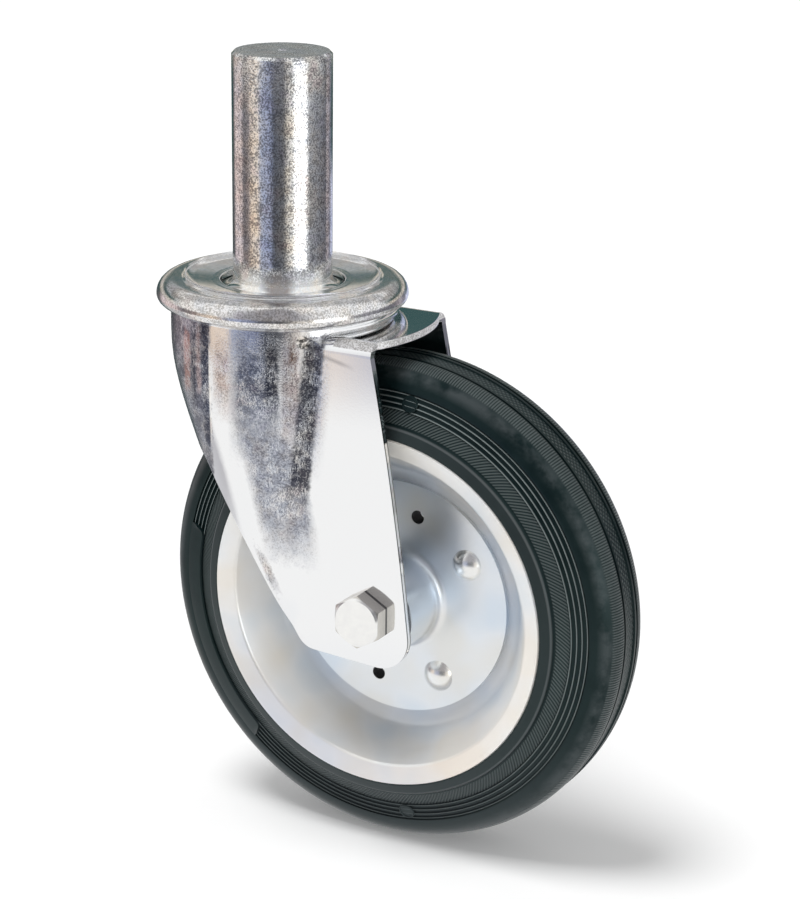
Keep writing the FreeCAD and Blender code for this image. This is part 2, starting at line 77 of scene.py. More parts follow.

# Painted reflections on the fork's skirt, as light and dark streaks and patches, in millimetres: across
# from and to, height from and to, how soft the edge is, lean, colour. Across is measured square to a
# bearing in degrees, and a patch leans about a height. The patches end at the valley, all but those that
# start beyond the wrap.
streak_bearing = 28.5275
streak_middle = -20
streak_wrap = -50
skirt_reflection_patches = (
    (-60, -26.6, -96, -8, 0.5, 0.0, (0.13, 0.135, 0.18)),
    (-40, -37.6, -60, -8, 0.8, 0.0, (0.09, 0.09, 0.12)),
    (-37.6, -35.2, -40, -16, 0.5, 0.0, (0.54, 0.32, 0.28)),
    (-34.6, -33.0, -48, -8, 0.5, 0.0, (0.06, 0.06, 0.09)),
    (-32.4, -30.6, -40, -12, 0.5, 0.0, (0.52, 0.42, 0.43)),
    (-30.0, -27.2, -90, -8, 0.5, 0.0, (0.06, 0.07, 0.11)),
    (-25, -18.5, -42, -16, 1.6, 0.0, (0.56, 0.48, 0.46)),
    (-17.5, -1.5, -54, -13, 2.6, 0.0, (0.11, 0.125, 0.18)),
    (-5, 0.2, -46, -10, 1.0, 0.0, (0.03, 0.035, 0.055)),
    (-22, -1.5, -98, -46, 2.2, 0.21, (0.30, 0.31, 0.36)),
    (1.5, 8.5, -54, -12, 1.2, 0.0, (0.46, 0.42, 0.44)),
    (4.4, 7.4, -26, -16, 0.8, 0.0, (0.20, 0.13, 0.10)),
    (16.0, 20.0, -60, -24, 2.5, -0.1, (0.55, 0.55, 0.59)),
    (9.6, 17.4, -82, -13, 0.9, -0.1, (0.02, 0.022, 0.04)),
    (10.2, 15.4, -98, -78, 1.2, -0.1, (0.40, 0.40, 0.44)),
    (-47.0, -43.8, -118, -105, 0.8, 0.447, (0.52, 0.50, 0.50)),
)

# Lines on the fork, in millimetres: the painted highlight along the crease down its front, the soft painted
# shade line of the bend under the shelf, and the painted shade lines along the ears' cut edges by distance
# from the middle plane
crease_across = (-27.2, -26.4)
crease_height = (-64, -19)
bend_across = (14, 27)
bend_height = (-16.4, -15.0)
bend_slant = 0.25
ear_lines = ((29.9, 30.6), (27.8, 28.4))
ear_lines_top = (-26, -28)

# The shelf's cut edge: its height in millimetres, and where it starts behind the stem in metres
shelf_edge = (-15.7, -12.95)
shelf_start = (0.040, 0.041)

# Bands of the tyre, in metres: by distance from the axle's line, then by distance from its middle plane
bead_band = (0.0710, 0.0772)
# The bead corner's band is a painted highlight
bead_corner_highlight = (0.0764, 0.0771)
side_band = (0.0780, 0.0830)
# The shoulder's band is a painted sheen
shoulder_sheen_band = (0.0945, 0.0982)
tread_edge_band = (0.0068, 0.0128)
tread_middle_band = (0.0, 0.0034)

# Distances of the tyre's fine side ridges from the axle's line, in millimetres
tyre_ridges = (83.5, 85.5, 87.5, 89.5)

# The smooth panel over the ridges, in metres, and its angles from behind the axle upwards
panel_inner = 0.0832
panel_outer = 0.0912
panel_middle = 0.0865
panel_root = 0.0150
panel_corner = 0.0034
panel_start = math.radians(167.4)
panel_end = math.radians(229.2)

# The round marks on the tyre's side: their places in metres, their tilt and their angles
mark_radius = 0.0864
mark_side = 0.0177
mark_tilt = 0.3
mark_angles = (math.radians(82.0), math.radians(-81.4))

# Parts of the flange, in millimetres from the stem's line: the edge of its sunk centre, which is painted
# with shade, its painted highlight rings with their softness, and its grainy rim. Then the heights of the
# sunk centre and rings, in metres.
sunk_edge = (24.75, 24.6)
highlight_rings = ((24.75, 25.1, 0.08), (38.15, 38.6, 0.1))
grainy_rim = (40.0, 47.0)
sunk_level = (-0.0008, -0.0014)
rings_level = (-0.0010, -0.0006)

# Steps round each turned piece
tyre_turns = 360
panel_turns = 90
mark_turns = 32
flange_turns = 240
tent_turns = 96

# Studio: the sun's bearing from the camera's, its height and its width in degrees, then the strength of
# the lights and how much the floor glows for the camera
sun_bearing = -75
sun_height = 73
sun_width = 24
sun_strength = 2.0
world_strength = 0.45
floor_glow = 0.10
floor_lift = 0.07

# The tent of cards, in metres
tent_radius = 0.5
tent_top = 0.45
tent_lid = 0.585
tent_clearance = 0.0004

# Cards of the tent's wall and of its low part: bearing from the camera's, to the right in degrees, and tone
wall_cards = (
    (-180, (0.05, 0.09, 0.09)),
    (-140, (0.12, 0.12, 0.13)),
    (-130, (0.85, 0.72, 0.72)),
    (-104, (0.80, 0.68, 0.68)),
    (-96, (0.17, 0.16, 0.18)),
    (-78, (0.36, 0.31, 0.31)),
    (-72, (0.85, 0.70, 0.58)),
    (-54, (0.90, 0.78, 0.68)),
    (-48, (0.45, 0.49, 0.62)),
    (-26, (0.38, 0.42, 0.60)),
    (-18, (0.10, 0.11, 0.14)),
    (8, (0.17, 0.17, 0.18)),
    (14, (0.75, 0.70, 0.64)),
    (28, (1.0, 0.97, 0.92)),
    (32, (2.6, 2.6, 2.6)),
    (56, (2.6, 2.6, 2.6)),
    (62, (0.40, 0.40, 0.42)),
    (118, (0.16, 0.16, 0.19)),
    (128, (0.55, 0.50, 0.54)),
    (140, (0.20, 0.20, 0.26)),
    (150, (0.75, 0.78, 1.0)),
    (164, (0.60, 0.66, 0.90)),
    (170, (0.05, 0.09, 0.09)),
    (180, (0.05, 0.09, 0.09)),
)
low_cards = (
    (-180, (0.75, 0.76, 0.78)),
    (-104, (0.55, 0.54, 0.56)),
    (-92, (0.98, 0.97, 0.96)),
    (110, (0.98, 0.98, 0.98)),
    (180, (0.75, 0.76, 0.78)),
)

# Cards behind the object: the heights they span, then each one's height in metres and its tone
cards_bottom = -0.2
cards_top = 0.6
behind_cards = (
    (-0.20, (0.04, 0.09, 0.09)),
    (0.00, (0.04, 0.09, 0.09)),
    (0.02, (0.66, 0.61, 0.54)),
    (0.075, (0.66, 0.62, 0.56)),
    (0.10, (0.04, 0.09, 0.09)),
    (0.15, (0.05, 0.10, 0.10)),
    (0.162, (0.46, 0.48, 0.48)),
    (0.21, (0.40, 0.40, 0.40)),
    (0.27, (0.34, 0.32, 0.31)),
    (0.34, (1.0, 1.0, 1.0)),
    (0.40, (0.52, 0.52, 0.53)),
    (0.56, (0.62, 0.62, 0.62)),
)


def pointing(bearing, height):
    """Direction from the object at a bearing and a height in degrees."""
    bearing, height = math.radians(bearing), math.radians(height)
    flat = math.cos(height)
    return Vector((math.sin(bearing) * flat, -math.cos(bearing) * flat, math.sin(height)))


def make_camera():
    """Camera at the photograph's viewing angle."""
    back = pointing(camera_azimuth, camera_elevation)
    right = pointing(camera_azimuth + 90, 0)
    up = back.cross(right)
    roll = math.radians(camera_roll)
    rolled_right = right * math.cos(roll) + up * math.sin(roll)
    rolled_up = up * math.cos(roll) - right * math.sin(roll)
    camera = bpy.data.objects.new("camera", bpy.data.cameras.new("camera"))
    camera.data.lens = camera_lens
    camera.data.clip_start = 0.05
    camera.data.clip_end = 60
    turned = Matrix((rolled_right, rolled_up, back)).transposed().to_4x4()
    camera.matrix_world = Matrix.Translation(camera_target + back * camera_distance) @ turned
    bpy.context.scene.collection.objects.link(camera)
    bpy.context.scene.camera = camera


# Shader building

def add(tree, kind, inputs=None, **settings):
    """New shader node, its inputs linked or set."""
    made = tree.nodes.new("ShaderNode" + kind)
    for name, value in settings.items():
        setattr(made, name, value)
    for name, value in (inputs or {}).items():
        if isinstance(value, bpy.types.NodeSocket):
            tree.links.new(value, made.inputs[name])
        else:
            made.inputs[name].default_value = value
    return made


def maths(tree, operation, first, second=0.0):
    """Result of one operation on two numbers."""
    return add(tree, "Math", {0: first, 1: second}, operation=operation).outputs[0]


def plus(tree, first, second):
    """Sum of two numbers."""
    return maths(tree, "ADD", first, second)


def times(tree, first, second):
    """Product of two numbers."""
    return maths(tree, "MULTIPLY", first, second)


def larger(tree, first, second):
    """The larger of two numbers."""
    return maths(tree, "MAXIMUM", first, second)


def distance_to(tree, first, second):
    """Distance from a line, for two places square to it and to each other."""
    return maths(tree, "SQRT", plus(tree, times(tree, first, first), times(tree, second, second)))


def spread(tree, value, low, high, new_low=0.0, new_high=1.0):
    """Value mapped from one range to another, kept inside it."""
    made = add(tree, "MapRange", {"Value": value, "From Min": low, "From Max": high,
                                  "To Min": new_low, "To Max": new_high})
    return made.outputs["Result"]


def between(tree, value, low, high, edge):
    """1 where a value is between two limits, 0 elsewhere, with soft edges."""
    rise = spread(tree, value, low - edge, low + edge)
    fall = spread(tree, value, high - edge, high + edge, 1.0, 0.0)
    return times(tree, rise, fall)


def ramp(tree, value, stops):
    """Colour picked along a list of (place, colour)."""
    made = add(tree, "ValToRGB", {"Fac": value})
    elements = made.color_ramp.elements
    elements.remove(elements[1])
    elements[0].position = stops[0][0]
    elements[0].color = (*stops[0][1], 1)
    for place, colour in stops[1:]:
        elements.new(place).color = (*colour, 1)
    return made.outputs["Color"]


def blend(tree, share, first, second, mode="MIX"):
    """Two colours mixed. The mix node's colour inputs are its inputs 6 and 7."""
    made = add(tree, "Mix", data_type="RGBA", blend_type=mode)
    for place, value in ((0, share), (6, first), (7, second)):
        if isinstance(value, bpy.types.NodeSocket):
            tree.links.new(value, made.inputs[place])
        elif isinstance(value, (int, float)):
            made.inputs[place].default_value = value
        else:
            made.inputs[place].default_value = (*value, 1)
    return made.outputs[2]


def paint(tree, colour, tone, share, strength):
    """Colour with a tone laid over it where share is 1, at a strength."""
    return blend(tree, times(tree, share, strength), colour, tone)


def stained(tree, colour, tone, share=1.0):
    """Colour multiplied by a tone, as far as share says."""
    return blend(tree, share, colour, blend(tree, 1.0, colour, tone, "MULTIPLY"))


def noise(tree, place, scale, detail=2.0, roughness=0.5, distortion=0.0):
    """Soft random pattern whose features are about 1/scale metres wide."""
    made = add(tree, "TexNoise", {"Vector": place, "Scale": scale, "Detail": detail,
                                  "Roughness": roughness, "Distortion": distortion})
    return made.outputs[0]


def new_material(name):
    """Empty node material: its tree, its main shader and the place on the object."""
    material = bpy.data.materials.new(name)
    material.use_nodes = True
    tree = material.node_tree
    place = add(tree, "TexCoord").outputs["Object"]
    return material, tree, tree.nodes["Principled BSDF"], place


def split(tree, place):
    """The x, y and z of a place."""
    return add(tree, "SeparateXYZ", {0: place}).outputs


def bump(tree, height, depth, normal=None):
    """Normal for a height from 0 to 1 that is depth metres deep."""
    inputs = {"Strength": 1.0, "Distance": depth, "Height": height}
    if normal is not None:
        inputs["Normal"] = normal
    return add(tree, "Bump", inputs).outputs[0]


def finish_shader(tree, shader, colour, roughness, metallic, normal):
    """Sets what every finish has."""
    tree.links.new(colour, shader.inputs["Base Color"])
    tree.links.new(roughness, shader.inputs["Roughness"])
    tree.links.new(normal, shader.inputs["Normal"])
    shader.inputs["Metallic"].default_value = metallic


# Finishes

def spangle(tree, place, grain):
    """Height, speckle from 0 to 1 and faint tints of zinc plate, with grain features a metre."""
    fine = noise(tree, place, grain, 2, 0.6)
    broad = noise(tree, place, grain / 6, 3, 0.6)
    speckle = spread(tree, plus(tree, fine, times(tree, broad, 0.35)), 0.58, 0.76)
    tints = ramp(tree, noise(tree, place, grain / 16, 4, 0.7), (
        (0.34, (1.0, 0.84, 0.80)),
        (0.43, (1.0, 0.97, 0.88)),
        (0.50, (1.0, 1.0, 1.0)),
        (0.57, (0.88, 0.95, 1.0)),
        (0.66, (0.86, 0.86, 1.0)),
    ))
    return plus(tree, fine, times(tree, broad, 0.8)), speckle, tints


def stem_zinc(name):
    """Bright zinc of the stem: a fine spangle that is dark in its pits, and calm at the flared foot."""
    material, tree, shader, place = new_material(name)
    height, speckle, tints = spangle(tree, place, 1500)
    calm = spread(tree, split(tree, place)["Z"], foot_top, foot_low, 0.0, 0.85)
    speckle = larger(tree, speckle, calm)
    height = times(tree, height, maths(tree, "SUBTRACT", 1.0, calm))
    colour = blend(tree, speckle, (0.27, 0.27, 0.28), (0.93, 0.92, 0.90))
    colour = stained(tree, colour, tints, 0.6)
    roughness = spread(tree, speckle, 0, 1, 0.2, 0.10)
    finish_shader(tree, shader, colour, roughness, 1.0, bump(tree, height, 0.00004))
    return material


def skirt_painted_reflections(tree, place, across, height, behind):
    """Zinc with the painted reflections of the fork's skirt over it, in streaks and patches, and their
    share from 0 to 1, which also stands for the skirt's wear.
    """
    shaken = times(tree, maths(tree, "SUBTRACT", noise(tree, place, 320, 4, 0.7), 0.5), 5.0)
    frayed = plus(tree, across, times(tree, shaken, 0.6))
    ragged = plus(tree, height, times(tree, shaken, 3.0))
    skirt = spread(tree, behind, 0.004, 0.012, 1.0, 0.0)
    colour, wear_and_painted_reflection = (0.90, 0.91, 0.92), 0.0
    for start, end, low, high, edge, lean, tone in skirt_reflection_patches:
        leaning = plus(tree, frayed, times(tree, plus(tree, height, -streak_middle), lean))
        within = between(tree, leaning, start, end, edge)
        share = times(tree, within, between(tree, ragged, low, high, 5 * edge))
        if start > streak_wrap:
            share = times(tree, share, skirt)
        # Each patch is a painted reflection, light or dark, laid over the zinc
        colour = paint(tree, colour, tone, share, 0.92)
        wear_and_painted_reflection = larger(tree, share, wear_and_painted_reflection)
    return colour, wear_and_painted_reflection


def scratches(tree, place):
    """1 on fine short scratches that run in two slanting directions."""
    total = 0.0
    for turn, stretch in ((0.5, (300, 300, 50)), (-0.7, (340, 340, 60))):
        inputs = {"Vector": place, "Rotation": (turn, turn, 0), "Scale": stretch}
        turned = add(tree, "Mapping", inputs).outputs[0]
        lines = noise(tree, turned, 5, 2, 0.5, 0.6)
        total = larger(tree, between(tree, lines, 0.475, 0.525, 0.012), total)
    return times(tree, total, spread(tree, noise(tree, place, 160, 2, 0.5), 0.46, 0.56))


def ear_edge_shade_lines(tree, y, height, behind):
    """1 on the painted shade lines along the cut edges of the ears, below the shelf."""
    side = times(tree, maths(tree, "ABSOLUTE", y), 1000)
    lines = 0.0
    for inner, outer in ear_lines:
        lines = larger(tree, between(tree, side, inner, outer, 0.05), lines)
    ear = times(tree, spread(tree, behind, 0.008, 0.010), spread(tree, height, *ear_lines_top))
    return times(tree, lines, ear)


def fork_zinc(name):
    """Bright zinc of the pressed fork: mirror-like ears, and a skirt with painted reflections in streaks,
    scratched where they lie, with painted shade and highlights along its bend, crease, crumple and the
    ears' cut edges.
    """
    material, tree, shader, place = new_material(name)
    x, y, z = split(tree, place)
    slanted = times(tree, plus(tree, z, -valley_z), valley_slant)
    behind = maths(tree, "SUBTRACT", x, plus(tree, slanted, valley_x))
    turn = math.radians(streak_bearing)
    across = plus(tree, times(tree, x, math.cos(turn)), times(tree, y, math.sin(turn)))
    across = times(tree, across, 1000)
    height = times(tree, z, 1000)
    _, speckle, tints = spangle(tree, place, 1350)
    # Painted reflections on the skirt; their share also sets its scratches, speckle, tints and roughness
    colour, wear_and_painted_reflection = skirt_painted_reflections(tree, place, across, height, behind)
    flecks = times(tree, spread(tree, speckle, 0.86, 1.0), wear_and_painted_reflection)
    colour = paint(tree, colour, (0.95, 0.95, 0.97), flecks, 0.22)
    pits = times(tree, spread(tree, speckle, 0.35, 0.0), wear_and_painted_reflection)
    colour = paint(tree, colour, (0.05, 0.05, 0.07), pits, 0.5)
    # Painted shade: a darker line along the bend under the shelf
    bend = between(tree, plus(tree, height, times(tree, across, bend_slant)), *bend_height, 0.6)
    bend = times(tree, bend, between(tree, across, *bend_across, 3))
    colour = paint(tree, colour, (0.26, 0.27, 0.30), bend, 0.5)
    # Painted shade and highlights: dark and light blotches where the sheet is crumpled
    crumple = add(tree, "VectorMath", {0: place, 1: crumple_place}, operation="DISTANCE").outputs["Value"]
    crumple = spread(tree, crumple, crumple_outer, crumple_inner)
    crumple_shade_and_highlights = spread(tree, noise(tree, place, 650, 3, 0.6), 0.42, 0.58)
    colour = blend(tree, crumple, colour, blend(tree, crumple_shade_and_highlights, (0.05, 0.05, 0.05), (0.9, 0.88, 0.86)))
    colour = paint(tree, colour, (0.97, 0.97, 0.98), times(tree, scratches(tree, place), wear_and_painted_reflection), 0.65)
    # Painted highlight: a bright line along the crease down the front
    crease = between(tree, across, *crease_across, 0.25)
    crease = times(tree, crease, between(tree, height, *crease_height, 3))
    colour = paint(tree, colour, (0.95, 0.94, 0.92), crease, 0.9)
    colour = stained(tree, colour, tints, times(tree, wear_and_painted_reflection, 0.5))
    # Painted shade: dark lines along the ears' cut edges
    colour = paint(tree, colour, (0.05, 0.06, 0.06), ear_edge_shade_lines(tree, y, height, behind), 0.9)
    cut = times(tree, between(tree, height, *shelf_edge, 0.05), spread(tree, x, *shelf_start))
    colour = blend(tree, cut, colour, blend(tree, speckle, (0.62, 0.61, 0.60), (1.0, 1.0, 1.0)))
    roughness = larger(tree, spread(tree, wear_and_painted_reflection, 0, 1, 0.07, 0.22), times(tree, cut, 0.6))
    relief = times(tree, speckle, plus(tree, times(tree, wear_and_painted_reflection, 0.95), 0.05))
    finish_shader(tree, shader, colour, roughness, 1.0, bump(tree, relief, 0.00003))
    return material


def flange_zinc(name):
    """Speckled zinc of the pressed cover: painted shade in its sunk centre, with painted highlight rings on
    its steps.
    """
    material, tree, shader, place = new_material(name)
    x, y, z = split(tree, place)
    radius = times(tree, distance_to(tree, x, y), 1000)
    height, speckle, tints = spangle(tree, place, 1400)
    rim = spread(tree, radius, *grainy_rim, 0.25, 1.0)
    smooth = blend(tree, speckle, (0.88, 0.88, 0.87), (0.96, 0.95, 0.94))
    grainy = blend(tree, speckle, (0.50, 0.49, 0.48), (0.90, 0.88, 0.87))
    colour = stained(tree, blend(tree, rim, smooth, grainy), tints, 0.4)
    # Painted shade: dark teal in the sunk centre
    sunk = times(tree, spread(tree, radius, *sunk_edge), spread(tree, z, *sunk_level))
    colour = paint(tree, colour, (0.05, 0.08, 0.08), sunk, 0.8)
    # Painted highlights: bright rings on the steps' edges
    rings = 0.0
    for inner, outer, edge in highlight_rings:
        rings = larger(tree, between(tree, radius, inner, outer, edge), rings)
    rings = times(tree, rings, spread(tree, z, *rings_level))
    colour = blend(tree, rings, colour, (1.0, 1.0, 1.0))
    roughness = larger(tree, spread(tree, speckle, 0, 1, 0.18, 0.12), times(tree, rings, 0.75))
    finish_shader(tree, shader, colour, roughness, 1.0, bump(tree, times(tree, height, rim), 0.00003))
    return material


def wheel_places(tree, place):
    """Distance from the axle's line, angle round it and distance from the wheel's middle plane."""
    x, y, z = split(tree, place)
    x = maths(tree, "SUBTRACT", x, wheel_centre.x)
    z = maths(tree, "SUBTRACT", z, wheel_centre.z)
    return distance_to(tree, x, z), maths(tree, "ARCTAN2", z, x), maths(tree, "ABSOLUTE", y)


def satin(name, colour, metallic, roughness, dark_below=-1.0, dark_within=-1.0, dull_within=-1.0):
    """Smooth satin zinc with a faint cloud, duller and with painted bluer shade near the axle, and painted
    shade inside the wheel.

    It is painted dark, as shade, where it is both nearer to the wheel's middle plane than dark_below and
    nearer to the axle than dark_within, and dull with painted bluer shade nearer to the axle than
    dull_within, all in metres.
    """
    material, tree, shader, place = new_material(name)
    cloud = noise(tree, place, 50, 0, 0.5)
    radius, _, side = wheel_places(tree, place)
    lit = larger(tree, spread(tree, side, dark_below, dark_below + 0.0001),
                 spread(tree, radius, dark_within, dark_within + 0.0001))
    colour = blend(tree, cloud, tuple(part * 0.94 for part in colour), colour)
    # Painted shade: bluer and darker nearer the axle than dull_within
    deep = spread(tree, radius, dull_within - 0.002, dull_within + 0.007, 1.0, 0.0)
    colour = stained(tree, colour, (0.76, 0.80, 0.86), deep)
    tints = ramp(tree, noise(tree, place, 30, 2, 0.5), (
        (0.36, (1.0, 0.96, 0.90)),
        (0.50, (1.0, 1.0, 1.0)),
        (0.64, (0.90, 0.95, 1.0)),
    ))
    # Painted shade: near black inside the wheel, where dark_below and dark_within say
    colour = blend(tree, lit, (0.015, 0.015, 0.016), stained(tree, colour, tints))
    clouded = spread(tree, cloud, 0, 1, roughness + 0.04, roughness)
    dull = spread(tree, radius, dull_within, dull_within + 0.003, 0.6, 0.0)
    normal = bump(tree, noise(tree, place, 1400, 2, 0.5), 0.000002)
    finish_shader(tree, shader, colour, larger(tree, clouded, dull), metallic, normal)
    return material


def bolt_zinc(name):
    """Satin zinc of bolt and nut, with painted light and shade: a painted bright face, painted greyer flats
    and a painted shadow line next to the ear.
    """
    material, tree, shader, place = new_material(name)
    depth = spread(tree, split(tree, place)["Y"], -head_face, -ear_face)
    # Painted light and shade by depth: a bright lit face, greyer shaded flats and a dark shadow line next
    # to the ear
    tone = ramp(tree, depth, (
        (0.00, (0.93, 0.93, 0.91)),
        (0.06, (0.93, 0.93, 0.91)),
        (0.10, (0.66, 0.64, 0.59)),
        (0.90, (0.56, 0.54, 0.50)),
        (0.92, (0.03, 0.03, 0.03)),
        (0.99, (0.03, 0.03, 0.03)),
        (1.00, (0.86, 0.86, 0.84)),
    ))
    cloud = spread(tree, noise(tree, place, 260, 3, 0.6), 0.3, 0.7)
    colour = blend(tree, cloud, blend(tree, 1.0, tone, (0.95, 0.95, 0.96), "MULTIPLY"), tone)
    roughness = spread(tree, cloud, 0, 1, 0.2, 0.14)
    finish_shader(tree, shader, colour, roughness, 0.85, bump(tree, cloud, 0.000004))
    return material


def plain(name, colour, metallic, roughness):
    """Smooth surface with a little unevenness in its colour and gloss."""
    material, tree, shader, place = new_material(name)
    fine = noise(tree, place, 900, 2, 0.5)
    darker = tuple(part * 0.8 for part in colour)
    uneven = blend(tree, spread(tree, fine, 0.3, 0.7), darker, colour)
    gloss = spread(tree, fine, 0.3, 0.7, roughness + 0.06, roughness)
    finish_shader(tree, shader, uneven, gloss, metallic, bump(tree, fine, 0.00001))
    return material


def wave(tree, angle, count, along, slope):
    """Ribs across a band: count of them round the wheel, slanted by slope radians a metre."""
    phase = plus(tree, times(tree, angle, count), times(tree, along, slope))
    return spread(tree, maths(tree, "SINE", phase), -1, 1)


def hatching(tree, radius, angle, side):
    """Height from 0 to 1 of the hatched bands on the tyre's sides and tread."""
    tread = spread(tree, radius, wheel_radius - 0.0026, wheel_radius - 0.0016)
    on_side = times(tree, between(tree, radius, *side_band, 0.0002), wave(tree, angle, 337, radius, 4190))
    on_edge = times(tree, between(tree, side, *tread_edge_band, 0.0003), wave(tree, angle, 571, side, 0))
    knurl = times(tree, wave(tree, angle, 260, side, 2600), wave(tree, angle, 260, side, -2600))
    on_middle = times(tree, between(tree, side, *tread_middle_band, 0.0002), knurl)
    return plus(tree, on_side, times(tree, plus(tree, on_edge, on_middle), tread))


def ridge_highlights(tree, radius, side):
    """1 on the painted highlights along the edges of the tyre's fine side ridges."""
    edges = 0.0
    for ridge in tyre_ridges:
        middle = ridge / 1000
        edges = larger(tree, between(tree, radius, middle - 0.00012, middle + 0.00022, 0.0001), edges)
    return times(tree, edges, spread(tree, side, 0.010, 0.014))


def rubber(name, ridged=True):
    """Dark green-black rubber with hatched bands on its sides and tread, with painted highlights where it
    stands out and painted light low down.
    """
    material, tree, shader, place = new_material(name)
    cloud = noise(tree, place, 70, 4, 0.65)
    fine = noise(tree, place, 1800, 3, 0.6)
    radius, angle, side = wheel_places(tree, place)
    hatch = hatching(tree, radius, angle, side)
    colour = blend(tree, spread(tree, cloud, 0.35, 0.65), (0.002, 0.008, 0.009), (0.006, 0.014, 0.015))
    colour = paint(tree, colour, (0.045, 0.052, 0.054), between(tree, radius, *bead_band, 0.0002), 0.5)
    # Painted highlight: a light line on the bead's outer corner
    colour = paint(tree, colour, (0.13, 0.14, 0.145), between(tree, radius, *bead_corner_highlight, 0.0002), 0.6)
    # Painted sheen: a lighter band round the shoulder, broken up by the cloud
    shoulder = between(tree, radius, *shoulder_sheen_band, 0.0014)
    shoulder = times(tree, shoulder, spread(tree, cloud, 0.40, 0.62))
    colour = paint(tree, colour, (0.080, 0.090, 0.095), shoulder, 0.6)
    colour = paint(tree, colour, (0.125, 0.145, 0.145), hatch, 0.7)
    if ridged:
        # Painted highlights on the edges of the fine side ridges
        colour = paint(tree, colour, (0.28, 0.32, 0.32), ridge_highlights(tree, radius, side), 0.85)
    # Painted light from the floor below: the tyre is lighter low down
    painted_floor_light = spread(tree, split(tree, place)["Z"], wheel_centre.z - 0.030, wheel_centre.z - 0.085)
    colour = paint(tree, colour, (0.050, 0.055, 0.060), painted_floor_light, 0.6)
    roughness = spread(tree, cloud, 0.3, 0.7, 0.29, 0.39)
    shader.inputs["Specular IOR Level"].default_value = 0.26
    shader.inputs["Specular Tint"].default_value = (0.72, 1.0, 1.0, 1)
    normal = bump(tree, fine, 0.00003, bump(tree, hatch, 0.00022))
    finish_shader(tree, shader, colour, roughness, 0.0, normal)
    return material


def dress(material, *names):
    """Gives CAD nodes a material."""
    for name in names:
        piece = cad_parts[name]
        piece.data.materials.clear()
        piece.data.materials.append(material)


def make_materials():
    """Finish of every CAD node that stays."""
    dress(stem_zinc("stem_zinc"), "stem")
    dress(fork_zinc("fork_zinc"), "fork")
    hub = satin("hub_zinc", (0.84, 0.88, 0.92), 0.85, 0.285, dark_below=0.0036, dark_within=0.0475)
    dress(hub, "lower_cup", "hub_plate_near", "hub_plate_far")
    rim = satin("rim_zinc", (0.97, 0.97, 0.96), 0.5, 0.285, dark_below=0.1, dark_within=0.046,
                dull_within=0.053)
    dress(rim, "rim_near", "rim_far")
    dress(satin("rivet_zinc", (0.92, 0.94, 0.95), 0.9, 0.22), "rivets")
    dress(bolt_zinc("bolt_zinc"), "axle_bolt", "axle_nut", "nut_washer")
    steel = plain("ground_steel", (0.62, 0.62, 0.62), 1.0, 0.18)
    dress(steel, "upper_balls", "lower_balls", "rollers")
    dress(steel, "axle_sleeve", "hub_tube", "end_washer_near", "end_washer_far")
    dress(plain("cage_plastic", (0.03, 0.03, 0.035), 0.0, 0.4), "roller_cage")


# Mesh building

def rounded(corners, steps):
    """Points along a line with its corners rounded: a corner is (radius, height or side, rounding)."""
    points = []
    for i, corner in enumerate(corners):
        place = Vector(corner[:2])
        if len(corner) < 3:
            points.append(place)
            continue
        before = (Vector(corners[i - 1][:2]) - place).normalized()
        after = (Vector(corners[i + 1][:2]) - place).normalized()
        half_turn = before.angle(after) / 2
        reach = corner[2] / math.tan(half_turn)
        middle = place + (before + after).normalized() * (corner[2] / math.sin(half_turn))
        first = place + before * reach - middle
        last = place + after * reach - middle
        for step in range(steps + 1):
            arm = first.lerp(last, step / steps)
            points.append(middle + arm.normalized() * corner[2])
    return points


def round_the_axle(radius, side, angle):
    """Place at a distance from the axle's line, to one side of the wheel's middle plane."""
    return wheel_centre.x + radius * math.cos(angle), side, wheel_centre.z + radius * math.sin(angle)


def round_the_stem(radius, height, angle):
    """Place at a distance from the stem's line, at a height."""
    return radius * math.cos(angle), radius * math.sin(angle), height


def ring_faces(rings, sides):
    """Faces between closed rings of points."""
    faces = []
    for row in range(rings - 1):
        here, above = row * sides, (row + 1) * sides
        for i in range(sides):
            after = (i + 1) % sides
            faces.append((here + i, here + after, above + after, above + i))
    return faces


def revolve(name, profile, turns, body, material, placed=round_the_axle, start=0.0, end=2 * math.pi):
    """Closed ring of a profile in metres, or a part of a ring with capped ends."""
    whole = end - start > 2 * math.pi - 0.001
    rows = turns if whole else turns + 1
    points = []
    for i in range(rows):
        angle = start + (end - start) * i / turns
        outline = profile(angle) if callable(profile) else profile
        for radius, side in outline:
            points.append(placed(radius, side, angle))
    count = len(points) // rows
    faces = []
    for i in range(turns):
        after = (i + 1) % rows
        for j in range(count):
            beside = (j + 1) % count
            faces.append((i * count + j, i * count + beside, after * count + beside, after * count + j))
    if not whole:
        faces.append(tuple(reversed(range(count))))
        faces.append(tuple((rows - 1) * count + j for j in range(count)))
    mesh = bpy.data.meshes.new(name)
    mesh.from_pydata(points, [], faces)
    return finished(name, mesh, body, material)


def finished(name, mesh, body, material):
    """Object of a new mesh, with outward faces, smooth shading, a finish and a body that it rides on."""
    shape = bmesh.new()
    shape.from_mesh(mesh)
    bmesh.ops.recalc_face_normals(shape, faces=shape.faces)
    shape.to_mesh(mesh)
    shape.free()
    mesh.polygons.foreach_set("use_smooth", [True] * len(mesh.polygons))
    mesh.set_sharp_from_angle(angle=math.radians(38))
    mesh.materials.append(material)
    piece = bpy.data.objects.new(name, mesh)
    bpy.context.scene.collection.objects.link(piece)
    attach(piece, body)
    return piece


# Tyre

